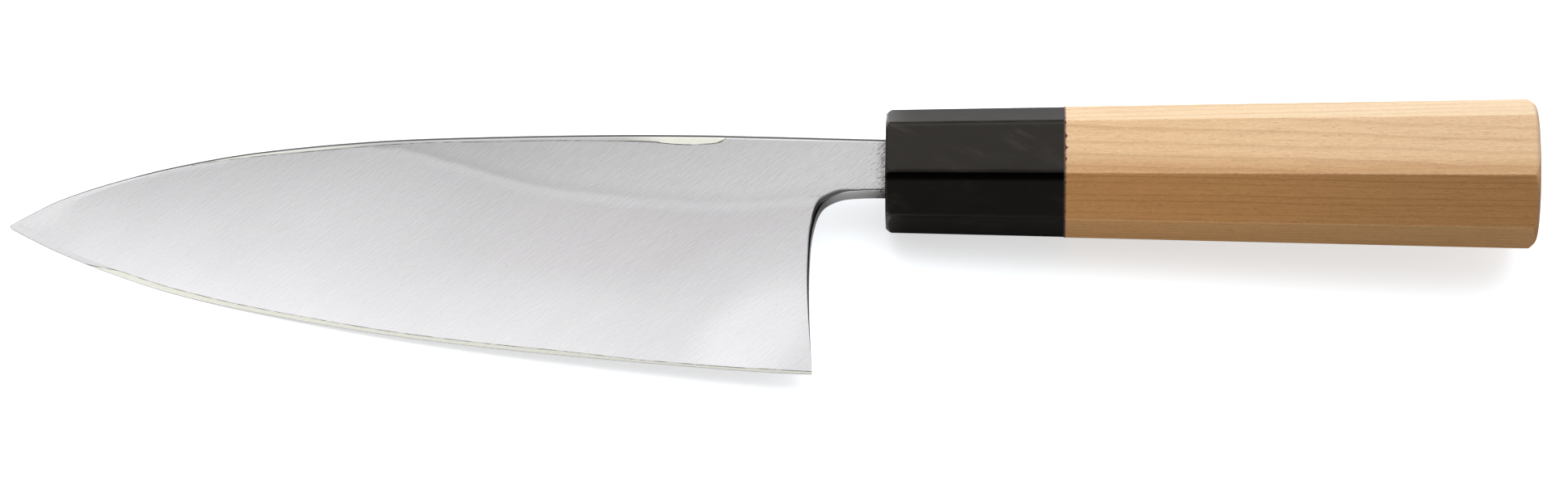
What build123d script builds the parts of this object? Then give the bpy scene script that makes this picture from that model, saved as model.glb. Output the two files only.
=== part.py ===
from build123d import *
import os

# A deba, the thick single-bevel Japanese fish knife, lying on a table with the hollow back of its blade up.
#
# Sizes are in millimetres. The pieces are drawn in the handle's own frame: X runs along the handle's axis from the
# ferrule's mouth, at 0, to the butt, Y points to the spine, and Z is square to the flat back of the blade. The last
# section turns all of them at once into the pose in which the knife rests on the table, Z = 0.

# Blade: from tip to heel, from the handle's axis down to the heel's corner, and up to the spine
blade_length = 150.0
heel_depth = 42.45
spine_rise = 6.3
heel_setback = 13.05
blade_thickness = 4.4
edge_land = 0.12
spine_ease_share = 0.09
back_stock = 0.2
neck_inset = 3.0
overrun = 2.0

# The neck reaches into the ferrule. Its raw end, to be cut off there, as a share of the blade's length from the heel.
raw_end = -(heel_setback + neck_inset + overrun) / blade_length

# The blade's shape along its length, drawn as smooth curves through these rows from the neck to the tip. A row holds
# the share of the blade's length from the heel, then shares of its height to the spine and to the edge, of the
# section's own height to the ridge, and of the thickness.
blade_shares = [
    (raw_end, 0.991, -0.013, 0.486, 1.000),
    (0.000, 1.000, 0.000, 0.486, 1.000),
    (0.080, 1.005, 0.013, 0.485, 0.990),
    (0.150, 1.008, 0.030, 0.484, 0.975),
    (0.250, 1.008, 0.057, 0.482, 0.945),
    (0.400, 0.998, 0.104, 0.484, 0.890),
    (0.550, 0.976, 0.167, 0.490, 0.810),
    (0.700, 0.924, 0.253, 0.510, 0.700),
    (0.800, 0.861, 0.329, 0.550, 0.600),
    (0.880, 0.788, 0.416, 0.610, 0.470),
    (0.940, 0.716, 0.496, 0.700, 0.330),
    (0.975, 0.655, 0.552, 0.760, 0.210),
    (1.000, 0.607, 0.595, 0.800, 0.100),
]
section_count = 30

# Hollow of the back: shares of the blade's length from the heel, of the rim's width left flat along the edge and along
# the spine, and of the hollow's depth. Behind the heel the hollow runs out over the spine.
rim_width = 1.2
hollow_depth = 0.45
hollow_shares = [
    (raw_end, 0.50, -5.00, 1.00),
    (0.000, 0.50, -4.20, 1.00),
    (0.080, 0.50, -1.60, 1.00),
    (0.150, 0.55, 1.70, 1.00),
    (0.250, 0.65, 1.20, 1.00),
    (0.400, 0.70, 1.00, 0.95),
    (0.600, 0.75, 0.95, 0.90),
    (0.720, 0.85, 0.75, 0.70),
    (0.800, 0.95, 0.50, 0.50),
    (0.900, 1.10, 1.00, 0.20),
    (0.930, 1.30, 1.30, 0.08),
]
hollow_count = 22

# Heel and neck outline: shares of the setback behind the heel's corner, and of the drop from the axis to the corner
choil_shares = [
    (0.000, 1.000),
    (-0.061, 0.680),
    (-0.070, 0.440),
    (-0.031, 0.290),
    (0.091, 0.177),
    (0.326, 0.129),
    (0.620, 0.115),
    (1.000, 0.113),
]

# Hard steel on the back: its depth at the heel and at the tip, and its upper border on the back, as shares of the
# blade's length from the heel and of its height
steel_depth = 1.3
steel_tip_depth = 0.5
border_shares = [
    (0.700, 1.020),
    (0.580, 0.954),
    (0.515, 0.934),
    (0.415, 0.864),
    (0.310, 0.784),
    (0.210, 0.734),
    (0.110, 0.720),
    (0.010, 0.744),
    (-0.060, 0.765),
]

# Tang
tang_step = 0.4
tang_length = 85.0
tang_end_height = 4.5
tang_end_thickness = 2.4

# Handle, eight-sided: its height is from edge side to spine side, its width is square to the blade's faces
handle_length = 120.8
mouth_height = 22.2
mouth_width = 20.5
butt_height = 26.7
butt_width = 24.8
side_flat_share = 0.462
top_flat_share = 0.355
mouth_turned_radius = 12.1
mouth_roll = 2.7
butt_turned_radius = 15.2
butt_roll = 4.8

# Ferrule, tenon, seal and glue
ferrule_length = 33.0
ferrule_wall = 10.0
glue_thickness = 0.2
tenon_radius = 7.0
tenon_clearance = 0.05
tenon_end_gap = 0.3
mouth_margin = 0.4
seal_setback = 0.4
bedding_thickness = 0.6
bedding_end = 1.5

# Where the knife touches the table: on the bevel, at a share of the blade's length from the heel, and on the ferrule's
# lower front corner, at a share of the roll there
bevel_touch_share = 0.81
corner_touch_share = 0.35

# Places that follow from the sizes
back_z = blade_thickness / 2
face_z = back_z - blade_thickness
blade_height = heel_depth + spine_rise
neck_top = blade_shares[0][1] * blade_height - heel_depth
neck_bottom = -choil_shares[-1][1] * heel_depth
neck_middle = (neck_top + neck_bottom) / 2
tang_height = neck_top - neck_bottom - 2 * tang_step
tang_thickness = blade_thickness - 2 * tang_step
grip_start = ferrule_length + glue_thickness
reach = blade_length + handle_length


def blade_x(share):
    """The place along the axis of a share of the blade's length, counted from the heel to the tip."""
    return -heel_setback - share * blade_length


def blade_y(share):
    """The place across the blade of a share of its height, counted from the heel's corner to the spine."""
    return share * blade_height - heel_depth


def curve_row(share, rows):
    """One row of a table of shares, read at any share along a smooth curve through its rows."""
    last = len(rows) - 1
    right = next((i for i in range(1, last) if rows[i][0] >= share), last)
    left = right - 1
    before, after = max(left - 1, 0), min(right + 1, last)
    start, end = rows[left], rows[right]
    gap = end[0] - start[0]
    way = (share - start[0]) / gap
    row = [share]
    for column in range(1, len(start)):
        start_slope = (end[column] - rows[before][column]) / (end[0] - rows[before][0])
        end_slope = (rows[after][column] - start[column]) / (rows[after][0] - start[0])
        row.append(
            (1 + 2 * way) * (1 - way) ** 2 * start[column]
            + way * (1 - way) ** 2 * gap * start_slope
            + way**2 * (3 - 2 * way) * end[column]
            + way**2 * (way - 1) * gap * end_slope
        )
    return row


def even_rows(rows, count):
    """Rows at even steps from the first row to the last."""
    first, last = rows[0][0], rows[-1][0]
    return [curve_row(first + (last - first) * i / (count - 1), rows) for i in range(count)]


def bevel_line(share):
    """The two ends of the bevel at a share of the blade's length: on the edge, and on the ridge."""
    along, spine, edge, ridge, thickness = curve_row(share, blade_shares)
    top, low = blade_y(spine), blade_y(edge)
    on_edge = Vector(blade_x(along), low, back_z - edge_land)
    on_ridge = Vector(blade_x(along), low + ridge * (top - low), back_z - thickness * blade_thickness)
    return on_edge, on_ridge


def blade_section(row):
    """One section of the forged blade: eased spine, flat face, bevel from the ridge to the edge, and raw back."""
    along, spine, edge, ridge, thickness = row
    x = blade_x(along)
    top, low = blade_y(spine), blade_y(edge)
    thick = thickness * blade_thickness
    ease = spine_ease_share * thick
    outline = Polyline(
        (x, top - ease - back_stock, back_z + back_stock),
        (x, top, back_z - ease),
        (x, top, back_z - thick + ease),
        (x, top - ease, back_z - thick),
        (x, low + ridge * (top - low), back_z - thick),
        (x, low, back_z - edge_land),
        (x, low, back_z + back_stock),
        close=True,
    )
    return make_face(outline)


def hollow_section(row):
    """One section of what the wheel takes from the back: a shallow arc between the rims, open above the back."""
    along, edge_rim, spine_rim, depth = row
    _, spine, edge, _, _ = curve_row(along, blade_shares)
    x = blade_x(along)
    low = blade_y(edge) + edge_rim * rim_width
    high = blade_y(spine) - spine_rim * rim_width
    arc = ThreePointArc((x, low, back_z), (x, (low + high) / 2, back_z - depth * hollow_depth), (x, high, back_z))
    lid = Polyline((x, high, back_z), (x, high, back_z + overrun), (x, low, back_z + overrun), (x, low, back_z))
    return make_face([arc, lid])


def plate(outline, bottom, top):
    """A flat outline drawn in X and Y, made solid from one height to another."""
    return Pos(0, 0, bottom) * extrude(make_face(outline), amount=top - bottom)


def slab(start, end):
    """Everything between two places along the axis."""
    return Pos(start, 0, 0) * Box(end - start, reach, reach, align=(Align.MIN, Align.CENTER, Align.CENTER))


def rod(radius, start, end):
    """A cylinder on the handle's axis between two places."""
    return Pos(start, 0, 0) * extrude(Plane.YZ * Circle(radius), amount=end - start)


# Blade blank: the bevelled body, less the hollow in its back and what lies behind the heel and under the neck
def heel_cutter():
    """The space behind the heel and under the neck, through the blade's whole thickness."""
    points = [(-heel_setback * (1 - back), -heel_depth * drop) for back, drop in choil_shares]
    behind = reach
    below = -reach
    first, last = points[0], points[-1]
    rest = Polyline(last, (behind, last[1]), (behind, below), (first[0], below), first)
    return plate([Spline(*points), rest], face_z - overrun, back_z + overrun)


def blade_blank():
    """The whole blade to the end of its neck, as one piece of forged metal with its back ground flat and hollow."""
    body = loft([blade_section(row) for row in even_rows(blade_shares, section_count)])
    above_back = Pos(0, 0, back_z) * Box(2 * reach, 2 * reach, reach, align=(Align.CENTER, Align.CENTER, Align.MIN))
    hollow = loft([hollow_section(row) for row in even_rows(hollow_shares, hollow_count)])
    return body - above_back - hollow - heel_cutter() - slab(neck_inset, reach)


# Tang: a taper of rectangular section, from the neck's shoulder to its narrow end
def tang_section(x, margin):
    """The tang's section at one place along the axis, grown by a margin all round."""
    share = (x - neck_inset) / (tang_length - neck_inset)
    height = tang_height + share * (tang_end_height - tang_height) + 2 * margin
    thickness = tang_thickness + share * (tang_end_thickness - tang_thickness) + 2 * margin
    return Plane.YZ.offset(x) * Pos(neck_middle, 0) * Rectangle(height, thickness)


def tang_taper(start, end, margin):
    """A stretch of the tang, or of the space round it when there is a margin."""
    return loft([tang_section(start, margin), tang_section(end, margin)], ruled=True)


# Hard steel layer: what lies on the back's side of a slightly sloping plane, below the border
def steel_space():
    """The part of the blade that is hard steel, with room round it."""
    heel_z, tip_z = back_z - steel_depth, back_z - steel_tip_depth
    slope = (tip_z - heel_z) / blade_length
    start, end = -heel_setback - blade_length - overrun, reach
    layer = Polyline(
        (start, 0, heel_z - slope * (start + heel_setback)),
        (end, 0, heel_z - slope * (end + heel_setback)),
        (end, 0, back_z + overrun),
        (start, 0, back_z + overrun),
        close=True,
    )
    depth = Pos(0, reach, 0) * extrude(make_face(layer), amount=2 * reach, dir=(0, -1, 0))
    points = [(blade_x(along), blade_y(height)) for along, height in border_shares]
    first, last = points[0], points[-1]
    rest = Polyline(last, (reach, last[1]), (reach, -reach), (-reach, -reach), (-reach, first[1]), first)
    return depth & plate([Spline(*points), rest], face_z - overrun, back_z + overrun)


# Handle blank: eight flat sides that widen evenly from the mouth to the butt
def eight_sided(x, height, width):
    """The handle's section at one place along its axis."""
    rise, run = height / 2, width / 2
    flank, crown = side_flat_share * rise, top_flat_share * run
    quarter = [(flank, run), (rise, crown)]
    corners = quarter + [(y, -z) for y, z in reversed(quarter)]
    corners += [(-y, -z) for y, z in quarter] + [(-y, z) for y, z in reversed(quarter)]
    return make_face(Polyline(*[(x, y, z) for y, z in corners], close=True))


def handle_blank():
    """The ferrule and the grip shaped together, before their ends are rounded."""
    mouth = eight_sided(0, mouth_height, mouth_width)
    butt = eight_sided(handle_length, butt_height, butt_width)
    return loft([mouth, butt], ruled=True)


def turned_end(radius, roll, start, end):
    """A round bar from start to end, with its rim at start rolled over: it rounds one end of the handle."""
    inward = roll if end > start else -roll
    flat = radius - roll
    turn = CenterArc((start + inward, flat), roll, 90, 90 if end > start else -90)
    rest = Polyline((start + inward, radius), (end, radius), (end, 0), (start, 0), (start, flat))
    return revolve(make_face([turn, rest]), Axis.X)


def mouth_pocket(start, margin):
    """The space that the neck takes in the ferrule's mouth, with a margin all round."""
    height = neck_top - neck_bottom + 2 * margin
    pocket = Box(neck_inset - start, height, blade_thickness + 2 * margin, align=(Align.MIN, Align.CENTER, Align.CENTER))
    return Pos(start, neck_middle, 0) * pocket


# Resting pose: the blade is the heavy end, so the knife lies on the bevel near the tip and on the ferrule's mouth
def table():
    """The table's plane in the handle's frame, with X still running to the butt."""
    on_edge, on_ridge = bevel_line(bevel_touch_share)
    corner = Vector(corner_touch_share * mouth_roll, -side_flat_share * mouth_height / 2, -mouth_width / 2)
    up = (corner - on_edge).cross(on_ridge - on_edge).normalized()
    return Plane(origin=on_edge, x_dir=Vector(1, 0, 0) - up * up.X, z_dir=up)


# The pieces
blank = blade_blank()
steel = steel_space()
edge_steel = blank & steel
tang = tang_taper(neck_inset, tang_length, 0)
blade_body = blank - steel + tang

handle = handle_blank()
tang_room = tang_taper(neck_inset, tang_length + bedding_end, bedding_thickness)
socket = rod(tenon_radius + tenon_clearance, ferrule_wall, handle_length)
horn_ferrule = handle & turned_end(mouth_turned_radius, mouth_roll, 0, ferrule_length)
horn_ferrule = horn_ferrule - socket - mouth_pocket(-overrun, mouth_margin) - tang_room

glue_joint = (handle & slab(ferrule_length, grip_start)) - socket

tenon = rod(tenon_radius, ferrule_wall + tenon_end_gap, grip_start)
wood_grip = handle & turned_end(butt_turned_radius, butt_roll, handle_length, grip_start)
wood_grip = wood_grip + tenon - tang_room

tang_bedding = tang_room - tang
mouth_seal = mouth_pocket(seal_setback, mouth_margin) - blank

pieces = {
    "blade_body": blade_body,
    "edge_steel": edge_steel,
    "horn_ferrule": horn_ferrule,
    "glue_joint": glue_joint,
    "wood_grip": wood_grip,
    "tang_bedding": tang_bedding,
    "mouth_seal": mouth_seal,
}
laid = {name: table().to_local_coords(piece) for name, piece in pieces.items()}
whole = Compound([solid for piece in laid.values() for solid in piece.solids()]).bounding_box()
place = Pos(-whole.center().X, -whole.center().Y, -whole.min.Z)

os.makedirs("parts", exist_ok=True)
for name, piece in laid.items():
    export_step(place * piece, f"parts/{name}.step")
    print(name, len(piece.solids()), round(piece.volume, 2), piece.is_valid)
print("table up", table().z_dir, "size", whole.size)
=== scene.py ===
import bmesh
import bpy
import numpy as np
from mathutils import Matrix, Vector


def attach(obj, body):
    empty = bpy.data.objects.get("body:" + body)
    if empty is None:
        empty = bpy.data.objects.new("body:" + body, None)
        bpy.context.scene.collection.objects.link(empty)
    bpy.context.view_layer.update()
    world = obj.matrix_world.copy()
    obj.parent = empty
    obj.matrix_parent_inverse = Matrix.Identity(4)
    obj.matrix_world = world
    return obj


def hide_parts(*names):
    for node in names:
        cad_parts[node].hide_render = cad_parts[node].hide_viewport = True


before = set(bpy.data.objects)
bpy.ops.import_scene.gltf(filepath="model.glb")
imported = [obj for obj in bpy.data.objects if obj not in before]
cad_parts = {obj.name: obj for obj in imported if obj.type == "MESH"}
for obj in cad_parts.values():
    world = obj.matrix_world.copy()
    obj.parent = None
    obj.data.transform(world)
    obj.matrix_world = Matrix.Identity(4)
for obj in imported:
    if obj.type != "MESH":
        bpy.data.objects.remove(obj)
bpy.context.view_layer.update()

# Blade body: soft iron, forged thick at the spine and thin at the edge, with the neck and the tang drawn out behind
# the heel. Its flat back is hollowed on a wheel, and its lower edge is forge-welded to the hard steel.
# All sizes are in millimetres in the handle's own frame: X from the ferrule's mouth to the butt, Y to the spine, Z
# square to the flat back.
blade_length = 150.0
heel_drop = 42.45
blade_height = 48.75
heel_setback = 13.05
blade_thickness = 4.4
back_z = blade_thickness / 2
edge_land = 0.12

# Rows from the neck to the tip: share of the blade's length from the heel, shares of its height to the spine and to
# the edge, share of the section's height to the ridge, share of the thickness
blade_rows = [
    (-0.12, 0.991, -0.013, 0.486, 1.0),
    (0.0, 1.0, 0.0, 0.486, 1.0),
    (0.08, 1.005, 0.013, 0.485, 0.99),
    (0.15, 1.008, 0.03, 0.484, 0.975),
    (0.25, 1.008, 0.057, 0.482, 0.945),
    (0.4, 0.998, 0.104, 0.484, 0.89),
    (0.55, 0.976, 0.167, 0.49, 0.81),
    (0.7, 0.924, 0.253, 0.51, 0.7),
    (0.8, 0.861, 0.329, 0.55, 0.6),
    (0.88, 0.788, 0.416, 0.61, 0.47),
    (0.94, 0.716, 0.496, 0.7, 0.33),
    (0.975, 0.655, 0.552, 0.76, 0.21),
    (1.0, 0.607, 0.595, 0.8, 0.1),
]

# The hollow of the back: share of the blade's length from the heel, then how far the wheel's cut would end below the
# spine (below zero: beyond it), the width of the flat rim along the spine, that of the rim along the edge, the depth
hollow_rows = [
    (-0.12, -6.0, -1.0, 0.6, 0.45),
    (0.0, -4.2, -1.0, 0.6, 0.45),
    (0.06, -2.4, -1.0, 0.64, 0.45),
    (0.09, -1.45, -0.9, 0.58, 0.45),
    (0.108, -0.9, 0.3, 0.57, 0.45),
    (0.12, -0.5, 1.75, 0.56, 0.45),
    (0.141, 0.1, 2.25, 0.54, 0.45),
    (0.161, 0.65, 2.4, 0.52, 0.45),
    (0.18, 1.05, 2.28, 0.51, 0.45),
    (0.212, 1.4, 1.86, 0.52, 0.45),
    (0.262, 1.55, 1.68, 0.72, 0.45),
    (0.313, 1.5, 1.5, 0.86, 0.44),
    (0.414, 1.4, 1.4, 0.82, 0.425),
    (0.515, 1.3, 1.25, 0.8, 0.415),
    (0.615, 1.3, 1.4, 0.92, 0.395),
    (0.716, 1.05, 1.05, 0.96, 0.315),
    (0.766, 0.85, 0.75, 1.06, 0.26),
    (0.806, 0.8, 0.7, 1.1, 0.215),
    (0.857, 0.95, 0.95, 1.18, 0.14),
    (0.905, 1.25, 1.25, 1.15, 0.07),
    (0.94, 1.5, 1.5, 1.3, 0.0),
    (1.0, 1.5, 1.5, 1.3, 0.0),
]

# Outline behind the heel and under the neck: shares of the heel's setback and of its drop
choil_rows = [
    (0.0, 1.0), (-0.061, 0.68), (-0.07, 0.44), (-0.031, 0.29), (0.091, 0.177),
    (0.326, 0.129), (0.62, 0.115), (1.0, 0.113), (1.23, 0.113),
]

# Where iron and hard steel meet on the back: shares of the blade's length from the heel and of its height
border_rows = [
    (-0.12, 0.785), (-0.06, 0.765), (0.01, 0.744), (0.11, 0.72), (0.21, 0.734), (0.31, 0.784),
    (0.415, 0.864), (0.515, 0.934), (0.58, 0.954), (0.7, 1.02), (1.0, 1.2),
]
steel_depth = 1.3
steel_tip_depth = 0.5
steel_share = 0.62

# The pose in which the knife rests: rolled onto its edge side, butt up, with the ferrule's mouth at this place
rest_roll = np.radians(10.01014)
rest_pitch = np.radians(3.59898)
mouth_place = np.array((20.7498, 14.1532, 10.9229))
metre = 0.001
rim_gap = 0.01
search_rounds = 12


def laid(points):
    """Millimetres of the handle's frame, rolled about X, pitched about Y, moved and given in metres."""
    cosine, sine = np.cos(rest_roll), np.sin(rest_roll)
    roll = np.array(((1, 0, 0), (0, cosine, -sine), (0, sine, cosine)))
    cosine, sine = np.cos(rest_pitch), np.sin(rest_pitch)
    pitch = np.array(((cosine, 0, -sine), (0, 1, 0), (sine, 0, cosine)))
    return (np.asarray(points) @ (pitch @ roll).T + mouth_place) * metre


def cubic(way, first, last, start_pace, end_pace):
    """From one value to another along a cubic that leaves and arrives with the given paces."""
    rise = way**2 * (3 - 2 * way)
    return (1 - rise) * first + rise * last + way * (1 - way) ** 2 * start_pace + way**2 * (way - 1) * end_pace


def read_rows(rows, at):
    """Columns of a table read at any place: cubics between neighbouring rows, with the same slope where they meet."""
    rows = np.array(rows)
    place = rows[:, 0]
    last = len(place) - 1
    at = np.clip(at, place[0], place[-1])
    right = np.clip(np.searchsorted(place, at), 1, last)
    left = right - 1
    before = np.maximum(left - 1, 0)
    after = np.minimum(right + 1, last)
    gap = (place[right] - place[left])[..., None]
    way = (at - place[left])[..., None] / gap
    start_slope = (rows[right] - rows[before]) / (place[right] - place[before])[..., None]
    end_slope = (rows[after] - rows[left]) / (place[after] - place[left])[..., None]
    read = cubic(way, rows[left], rows[right], gap * start_slope, gap * end_slope)
    return np.moveaxis(read[..., 1:], -1, 0)


def from_heel(x):
    """Places along the axis as shares of the blade's length from the heel."""
    return (-x - heel_setback) / blade_length


def outline(x):
    """Spine and edge heights, ridge height and thickness at places along the axis."""
    spine, edge, ridge, thick = read_rows(blade_rows, from_heel(x))
    top = spine * blade_height - heel_drop
    low = edge * blade_height - heel_drop
    return top, low, low + ridge * (top - low), thick * blade_thickness


def back_height(x, y):
    """The hollow back: level on both rims, less a parabola across the blade between them."""
    top, low, _, _ = outline(x)
    cut_end, spine_rim, edge_rim, depth = read_rows(hollow_rows, from_heel(x))
    high, bottom = top - cut_end, low + edge_rim
    across = (y - (high + bottom) / 2) / ((high - bottom) / 2)
    return back_z - np.where(y > top - spine_rim + rim_gap, 0, depth * np.maximum(0, 1 - across**2))


def face_height(x, y):
    """The front: flat from the spine to the ridge, then a straight bevel to the edge."""
    _, low, ridge, thick = outline(x)
    way = np.clip((y - low) / (ridge - low), 0, 1)
    return back_z - edge_land - way * (thick - edge_land)


def weld_height(x):
    """The plane inside the blade where the hard steel lies on the iron."""
    thick = outline(x)[3]
    depth = steel_depth + (steel_tip_depth - steel_depth) * from_heel(x)
    return back_z - np.minimum(depth, steel_share * thick)


def smooth(low, high, value):
    """Rises from 0 to 1 between two values, level at both ends."""
    way = np.clip((value - low) / (high - low), 0, 1)
    return way**2 * (3 - 2 * way)


# Lines across the blade: each starts on the lower outline and ends on the spine, and they fan out at the heel
edge_lines = 300
choil_step = 0.4
fan_start = 0.35
fan_lean = 18.95
neck_start = -6.0
fan_pace = 0.28

choil_points = np.array([(-heel_setback * (1 - back), -heel_drop * drop) for back, drop in choil_rows])
choil_run = np.concatenate(([0], np.cumsum(np.hypot(*np.diff(choil_points, axis=0).T))))
choil_curve = np.column_stack((choil_run, choil_points))
neck_run = np.interp(neck_start, choil_points[3:, 0], choil_run[3:])


def edge_line(share):
    """Lines from the edge to the spine, which lean more to the tip as they near the heel."""
    x = -heel_setback - share * blade_length
    lean = fan_lean * np.maximum(0, (fan_start - share) / fan_start) ** 2
    return np.stack((x, outline(x)[1], x - lean, outline(x - lean)[0]), axis=-1)


def choil_line(run):
    """Lines from the curve behind the heel and under the neck to the spine, upright again at the neck."""
    x, y = read_rows(choil_curve, run)
    way = np.clip(run / neck_run, 0, 1)
    over = cubic(way, -heel_setback - fan_lean, neck_start, fan_pace * neck_run, neck_run)
    over = np.where(run > neck_run, x, over)
    return np.stack((x, y, over, outline(over)[0]), axis=-1)


def cross(lines, height):
    """How far along each line it meets a curve, given as a height over x, by stepping towards it."""
    bx, by, tx, ty = lines.T
    way = np.full(len(lines), 0.5)
    for _ in range(search_rounds):
        way = (height(bx + way * (tx - bx)) - by) / (ty - by)
    return way


def one_millimetre(lines, ends):
    """One millimetre inwards, square to the curve that the ends follow, as a share of each line."""
    along = np.gradient(ends, axis=0)
    across = lines[:, 2:] - lines[:, :2]
    return np.hypot(*along.T) / np.abs(along[:, 0] * across[:, 1] - along[:, 1] * across[:, 0])


tip_round = 0.3
tip_depth = 0.2
spine_ease = 1.0
spine_ease_share = 0.25
front_ease = 0.45
front_ease_share = 0.15
least_ease = 0.03
most_ease_share = 0.45
hair = 0.05
wall_steps = np.radians(np.linspace(0, 90, 7))

# How the lower wall's corners grow rounder behind the heel: from where to where, and by how much
back_easing = [(0, 22, 0.45), (22, 36, 0.35), (38, 43, -0.5)]
face_easing = [(0, 20, 0.55)]


def eased(run, easing, thick):
    """Radius of a corner of the lower wall: a least one, grown by each step, held to a share of the thickness."""
    grown = sum(change * smooth(start, end, run) for start, end, change in easing)
    return np.minimum(least_ease + grown, most_ease_share * thick)


class Across:
    """The places on each line where the blade's surfaces meet, as shares of the line from the lower outline."""

    def __init__(self, lines, run):
        bx, by, tx, _ = lines.T
        self.lines = lines
        self.inset = one_millimetre(lines, lines[:, :2])
        self.top_inset = one_millimetre(lines, lines[:, 2:])
        thick = outline(tx)[3]
        self.face_z = face_height(bx, by)
        self.back_ease = eased(run, back_easing, back_z - self.face_z)
        self.face_ease = eased(run, face_easing, back_z - self.face_z)
        self.spine_ease = np.minimum(spine_ease, spine_ease_share * thick)
        self.front_ease = np.minimum(front_ease, front_ease_share * thick)
        self.start = self.back_ease * self.inset
        self.end = 1 - self.spine_ease * self.top_inset
        self.front_end = 1 - self.front_ease * self.top_inset
        self.edge_rim = np.clip(cross(lines, edge_rim_line), self.start, self.end)
        self.spine_rim = np.clip(cross(lines, spine_rim_line), self.edge_rim, self.end)
        self.border = np.clip(cross(lines, border_line), self.start, self.end)
        self.border = np.where(run > 0, self.border, np.maximum(self.border, self.edge_rim))
        self.ridge = np.clip(cross(lines, ridge_line), self.face_ease * self.inset, self.front_end)
        self.back_start_z = self.back(self.start)
        self.weld = np.clip(cross(lines, weld_line), self.face_ease * self.inset, self.ridge)
        self.start_weld = self.weld_z(0)
        self.welded = self.face_z < self.start_weld

    def at(self, way):
        """Places across the knife at shares of the lines."""
        bx, by, tx, ty = self.lines.T
        return bx + way * (tx - bx), by + way * (ty - by)

    def row(self, way, z):
        """A row of points at shares of the lines and at a height."""
        return (*self.at(way), z)

    def back(self, way):
        """The back's height at shares of the lines."""
        return back_height(*self.at(way))

    def front(self, way):
        """The front's height at shares of the lines."""
        return face_height(*self.at(way))

    def front_rows(self, ways):
        """Rows of points on the front."""
        return [self.row(way, self.front(way)) for way in ways]

    def weld_z(self, way):
        """The weld's height at shares of the lines."""
        return weld_height(self.at(way)[0])

    def wall_inset(self, z):
        """How far the lower wall stands in at a height: rounded over at the back and at the front."""
        low = np.clip(1 - (z - self.face_z) / self.face_ease, 0, 1)
        high = np.clip(1 - (self.back_start_z - z) / self.back_ease, 0, 1)
        inwards = self.face_ease * (1 - np.sqrt(1 - low**2)) + self.back_ease * (1 - np.sqrt(1 - high**2))
        return inwards * self.inset

    def wall_levels(self):
        """Heights up the lower wall, close together round both of its corners."""
        levels = [self.face_z + self.face_ease * (1 - np.cos(turn)) for turn in wall_steps]
        return levels + [self.back_start_z - self.back_ease * (1 - np.cos(turn)) for turn in wall_steps[::-1]]


def edge_rim_line(x):
    """Inner side of the rim along the edge."""
    return outline(x)[1] + read_rows(hollow_rows, from_heel(x))[2]


def spine_rim_line(x):
    """Inner side of the rim along the spine."""
    return outline(x)[0] - read_rows(hollow_rows, from_heel(x))[1]


def border_line(x):
    """Where iron and steel meet on the back."""
    return read_rows(border_rows, from_heel(x))[0] * blade_height - heel_drop


def ridge_line(x):
    """The ridge between the bevel and the flat of the front."""
    return outline(x)[2]


def weld_line(x):
    """Where iron and steel meet on the bevel."""
    _, low, ridge, thick = outline(x)
    way = (back_z - edge_land - weld_height(x)) / (thick - edge_land)
    return low + way * (ridge - low)


def stretch(start, end, count, near=None):
    """Evenly spaced values from start to end for every line, with one more close to each end if near is given."""
    ways = np.linspace(0, 1, count)
    values = [start + way * (end - start) for way in ways]
    if near is not None:
        gap = np.minimum(near, 0.2 * (end - start))
        values = [values[0], start + gap] + values[1:-1] + [end - gap, values[-1]]
    return values


# Rows of points on each surface of a section; on the back those of the edge's rim, the hollow and the spine's rim
steel_counts = (5, 24, 3)
iron_counts = (5, 14, 5)
weld_count = 4
steel_bevel_count = 9
flat_count = 12
bevel_count = 14


def back_rows(a, start, end, counts):
    """The back between two places, with rows close beside both rims' inner sides."""
    rim = np.clip(a.edge_rim, start, end)
    top_rim = np.clip(a.spine_rim, rim, end)
    ways = [start]
    for low, high, count in zip((start, rim, top_rim), (rim, top_rim, end), counts):
        ways += stretch(low, high, count, hair * a.inset)[1:]
    return [a.row(way, a.back(way)) for way in ways]


def steel_ring(a):
    """Section of the hard steel: wall, back up to the border, down to the weld, along it, and down the bevel."""
    low = np.maximum(a.face_z, a.start_weld)
    levels = [np.clip(z, low, a.back_start_z) for z in a.wall_levels()]
    rows = [a.row(a.wall_inset(z), z) for z in levels]
    rows += back_rows(a, a.start, a.border, steel_counts)[1:]
    weld = np.where(a.welded, a.wall_inset(low), a.weld)
    foot = np.where(a.welded, weld, a.face_ease * a.inset)
    for way in stretch(a.border, weld, weld_count):
        rows.append(a.row(way, np.maximum(a.weld_z(way), a.front(way))))
    for way in stretch(weld, foot, steel_bevel_count)[1:-1]:
        rows.append(a.row(way, np.where(a.welded, low, a.front(way))))
    return rows


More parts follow.
